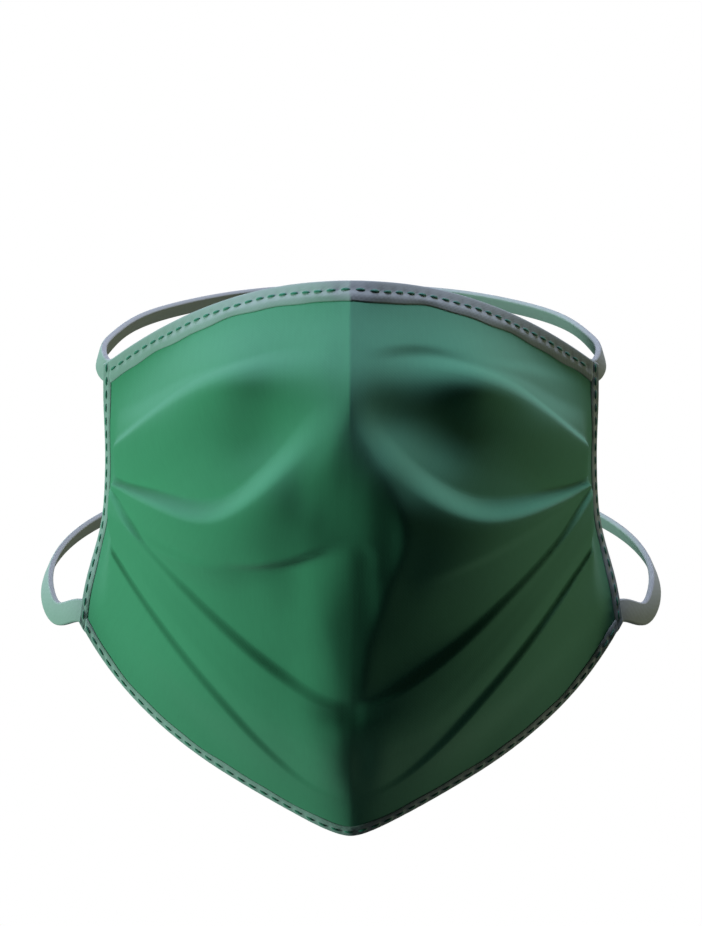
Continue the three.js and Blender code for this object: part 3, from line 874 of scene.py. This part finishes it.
def weave_group():
    """Plain weave on a piece's own lengths: threads cross over and under, so the height is half the product of a
    sine along each direction, with slubs from noise drawn out along the threads."""
    tree, given, result = new_group(
        "Plain weave",
        [("Lengths", "NodeSocketVector"), ("Threads over", "NodeSocketFloat"), ("Threads down", "NodeSocketFloat")],
        [("Height", "NodeSocketFloat"), ("Slub", "NodeSocketFloat")],
    )
    lengths = tree.nodes.new("ShaderNodeSeparateXYZ")
    tree.links.new(given["Lengths"], lengths.inputs[0])
    waves = []
    for length, threads in (("X", "Threads over"), ("Y", "Threads down")):
        count = maths(tree, "MULTIPLY", lengths.outputs[length], given[threads])
        waves.append(maths(tree, "SINE", maths(tree, "MULTIPLY", count, np.pi)))
    cross = maths(tree, "MULTIPLY", *waves)
    stretch = tree.nodes.new("ShaderNodeMapping")
    stretch.inputs["Scale"].default_value = (1.0, SLUB_STRETCH, 1.0)
    tree.links.new(given["Lengths"], stretch.inputs["Vector"])
    slub = noise(tree, stretch.outputs[0], SLUBS)
    tree.links.new(maths(tree, "ADD", maths(tree, "MULTIPLY", cross, 0.5), slub), result["Height"])
    tree.links.new(slub, result["Slub"])
    return tree


def dye_group():
    """Uneven dye: broad and fine noise on Object coordinates, as a value about one."""
    tree, given, result = new_group(
        "Uneven dye",
        [("Place", "NodeSocketVector"), ("Amount", "NodeSocketFloat")],
        [("Tone", "NodeSocketFloat")],
    )
    shares = [maths(tree, "MULTIPLY", noise(tree, given["Place"], row), row.share) for row in (BROAD_DYE, FINE_DYE)]
    both = maths(tree, "ADD", *shares)
    swing = maths(tree, "MULTIPLY", maths(tree, "SUBTRACT", both, 0.5), given["Amount"])
    tree.links.new(maths(tree, "ADD", swing, 1.0), result["Tone"])
    return tree


def place_group(tree, group, values):
    """A node group in a material, with its inputs joined or set."""
    node = tree.nodes.new("ShaderNodeGroup")
    node.node_tree = group
    for label, value in values.items():
        join(tree, value, node.inputs[label])
    return node.outputs


def fabric(name, colour, finish):
    """A matt woven finish: base colour times uneven dye and slubs, and a bump from the weave."""
    groups = bpy.data.node_groups
    material = bpy.data.materials.new(name)
    material.use_nodes = True
    tree = material.node_tree
    shader = tree.nodes["Principled BSDF"]
    where = tree.nodes.new("ShaderNodeTexCoord")
    weave = place_group(
        tree,
        groups.get("Plain weave") or weave_group(),
        {
            "Lengths": where.outputs["UV"],
            "Threads over": finish.threads_over,
            "Threads down": finish.threads_down,
        },
    )
    dye = place_group(
        tree,
        groups.get("Uneven dye") or dye_group(),
        {"Place": where.outputs["Object"], "Amount": finish.dye},
    )
    slub = maths(tree, "ADD", maths(tree, "MULTIPLY", weave["Slub"], SLUBS.share), 1.0 - SLUBS.share / 2)
    tint = tree.nodes.new("ShaderNodeVectorMath")
    tint.operation = "SCALE"
    tint.inputs[0].default_value = colour
    tree.links.new(maths(tree, "MULTIPLY", dye["Tone"], slub), tint.inputs["Scale"])
    tree.links.new(tint.outputs[0], shader.inputs["Base Color"])
    bump = tree.nodes.new("ShaderNodeBump")
    bump.inputs["Strength"].default_value = finish.relief
    bump.inputs["Distance"].default_value = WEAVE_DEEP
    tree.links.new(weave["Height"], bump.inputs["Height"])
    tree.links.new(bump.outputs[0], shader.inputs["Normal"])
    shader.inputs["Roughness"].default_value = finish.rough
    shader.inputs["Specular IOR Level"].default_value = SHINE
    shader.inputs["Sheen Weight"].default_value = finish.sheen
    shader.inputs["Sheen Roughness"].default_value = SHEEN_ROUGH
    return material


def finish_of(name, colours):
    """A finish by name, made the first time it is asked for."""
    finish = FINISHES[name]
    return bpy.data.materials.get(name) or fabric(name, getattr(colours, finish.colour), finish)


def white_to_camera(tree, shade, white_node, target):
    """Mixes a plain white, for rays straight from the camera, over a shade that lights the scene."""
    ray = tree.nodes.new("ShaderNodeLightPath")
    white = tree.nodes.new(white_node)
    white.inputs["Color"].default_value = WHITE
    white.inputs["Strength"].default_value = 1.0
    mix = tree.nodes.new("ShaderNodeMixShader")
    tree.links.new(ray.outputs["Is Camera Ray"], mix.inputs[0])
    tree.links.new(shade.outputs[0], mix.inputs[1])
    tree.links.new(white.outputs[0], mix.inputs[2])
    tree.links.new(mix.outputs[0], target.inputs["Surface"])


def pale_floor(scene):
    """One wide square below the mask that looks white and throws little light back."""
    low, h = CAD_BOX[0].z - FLOOR_BELOW, FLOOR_HALF
    mesh = bpy.data.meshes.new("floor")
    mesh.from_pydata([(-h, -h, low), (h, -h, low), (h, h, low), (-h, h, low)], [], [(0, 1, 2, 3)])
    floor = bpy.data.objects.new("floor", mesh)
    scene.collection.objects.link(floor)
    pale = bpy.data.materials.new("pale_floor")
    pale.use_nodes = True
    nodes = pale.node_tree.nodes
    shader = nodes["Principled BSDF"]
    shader.inputs["Base Color"].default_value = FLOOR_GREY
    shader.inputs["Roughness"].default_value = 1.0
    white_to_camera(pale.node_tree, shader, "ShaderNodeEmission", nodes["Material Output"])
    mesh.materials.append(pale)


def studio_light(scene):
    """A faint light from all round, and round area lights that face the mask."""
    scene.world = bpy.data.worlds.new("studio")
    scene.world.use_nodes = True
    nodes = scene.world.node_tree.nodes
    nodes["Background"].inputs["Color"].default_value = AMBIENT_COLOUR
    nodes["Background"].inputs["Strength"].default_value = AMBIENT
    white_to_camera(scene.world.node_tree, nodes["Background"], "ShaderNodeBackground", nodes["World Output"])
    for lamp in LAMPS:
        data = bpy.data.lights.new(lamp.name, "AREA")
        data.shape = "DISK"
        data.size = lamp.size
        data.energy = lamp.power
        data.color = lamp.colour
        light = bpy.data.objects.new(lamp.name, data)
        light.location = lamp.place
        light.rotation_euler = (LAMP_AIM - Vector(lamp.place)).to_track_quat("-Z", "Y").to_euler()
        scene.collection.objects.link(light)


def front_camera(scene):
    """A camera straight in front, a little above the point it looks at. The frame is upright, so the sensor's width
    spans its height."""
    data = bpy.data.cameras.new("camera")
    data.sensor_width = SENSOR
    data.lens = EYE.focal / EYE.tall * SENSOR
    data.clip_start = CLIP_NEAR
    camera = bpy.data.objects.new("camera", data)
    tilt = np.radians(EYE.elevation)
    forward = Vector((0.0, np.cos(tilt), -np.sin(tilt)))
    camera.location = Vector(EYE.aim) * MM - forward * EYE.reach * MM
    camera.rotation_euler = forward.to_track_quat("-Z", "Y").to_euler()
    scene.collection.objects.link(camera)
    scene.camera = camera


class MASK_OT_cloth(bpy.types.Operator):
    """Build the pleated cloth"""

    bl_idname = "mask.cloth"
    bl_label = "Cloth"

    def execute(self, context):
        scene = context.scene
        body = cloth_body(scene.mask_sizes, finish_of("green_cotton", scene.mask_colours))
        return {"FINISHED"}


class MASK_OT_tapes(bpy.types.Operator):
    """Build the tapes that bind the four edges"""

    bl_idname = "mask.tapes"
    bl_label = "Binding tapes"

    def execute(self, context):
        scene = context.scene
        for tape in edge_tapes(scene.mask_sizes):
            edge_tape(tape, scene.mask_sizes, finish_of("grey_tape", scene.mask_colours))
        return {"FINISHED"}


class MASK_OT_straps(bpy.types.Operator):
    """Build the two elastic head straps"""

    bl_idname = "mask.straps"
    bl_label = "Head straps"

    def execute(self, context):
        scene = context.scene
        for name in STRAPS:
            head_strap(name, scene.mask_sizes, finish_of("grey_elastic", scene.mask_colours))
        return {"FINISHED"}


class MASK_OT_stitches(bpy.types.Operator):
    """Sew the rows of stitches along the tapes and on the ends of the straps"""

    bl_idname = "mask.stitches"
    bl_label = "Stitches"

    def execute(self, context):
        scene = context.scene
        thread = finish_of("green_thread", scene.mask_colours)
        for tape in edge_tapes(scene.mask_sizes):
            tape_stitches(tape, scene.mask_sizes, thread)
        for name in STRAPS:
            strap_tacks(name, scene.mask_sizes, thread)
        return {"FINISHED"}


class MASK_OT_stage(bpy.types.Operator):
    """Set up the pale floor, the soft lights and the camera"""

    bl_idname = "mask.stage"
    bl_label = "Stage"

    def execute(self, context):
        scene = context.scene
        pale_floor(scene)
        studio_light(scene)
        front_camera(scene)
        scene.view_settings.view_transform = "Standard"
        return {"FINISHED"}


OPERATORS = (MASK_OT_cloth, MASK_OT_tapes, MASK_OT_straps, MASK_OT_stitches, MASK_OT_stage)


class MASK_PT_panel(bpy.types.Panel):
    """The mask's sizes, colours and build steps"""

    bl_label = "Cloth Face Mask"
    bl_idname = "MASK_PT_panel"
    bl_space_type = "VIEW_3D"
    bl_region_type = "UI"
    bl_category = "Mask"

    def draw(self, context):
        for group in (context.scene.mask_sizes, context.scene.mask_colours):
            for name in group.__annotations__:
                self.layout.prop(group, name)
        for operator in OPERATORS:
            self.layout.operator(operator.bl_idname)


CLASSES = (MaskSizes, MaskColours, *OPERATORS, MASK_PT_panel)


def register():
    """Registers the classes and hangs the sizes and colours on the scene."""
    for cls in CLASSES:
        bpy.utils.register_class(cls)
    bpy.types.Scene.mask_sizes = PointerProperty(type=MaskSizes)
    bpy.types.Scene.mask_colours = PointerProperty(type=MaskColours)


def unregister():
    """Takes away what register added."""
    del bpy.types.Scene.mask_colours
    del bpy.types.Scene.mask_sizes
    for cls in reversed(CLASSES):
        bpy.utils.unregister_class(cls)


def main():
    """Builds the mask and its stage."""
    register()
    bpy.ops.mask.cloth()
    bpy.ops.mask.tapes()
    bpy.ops.mask.straps()
    bpy.ops.mask.stitches()
    bpy.ops.mask.stage()
    bpy.context.view_layer.update()


if __name__ == "__main__":
    main()
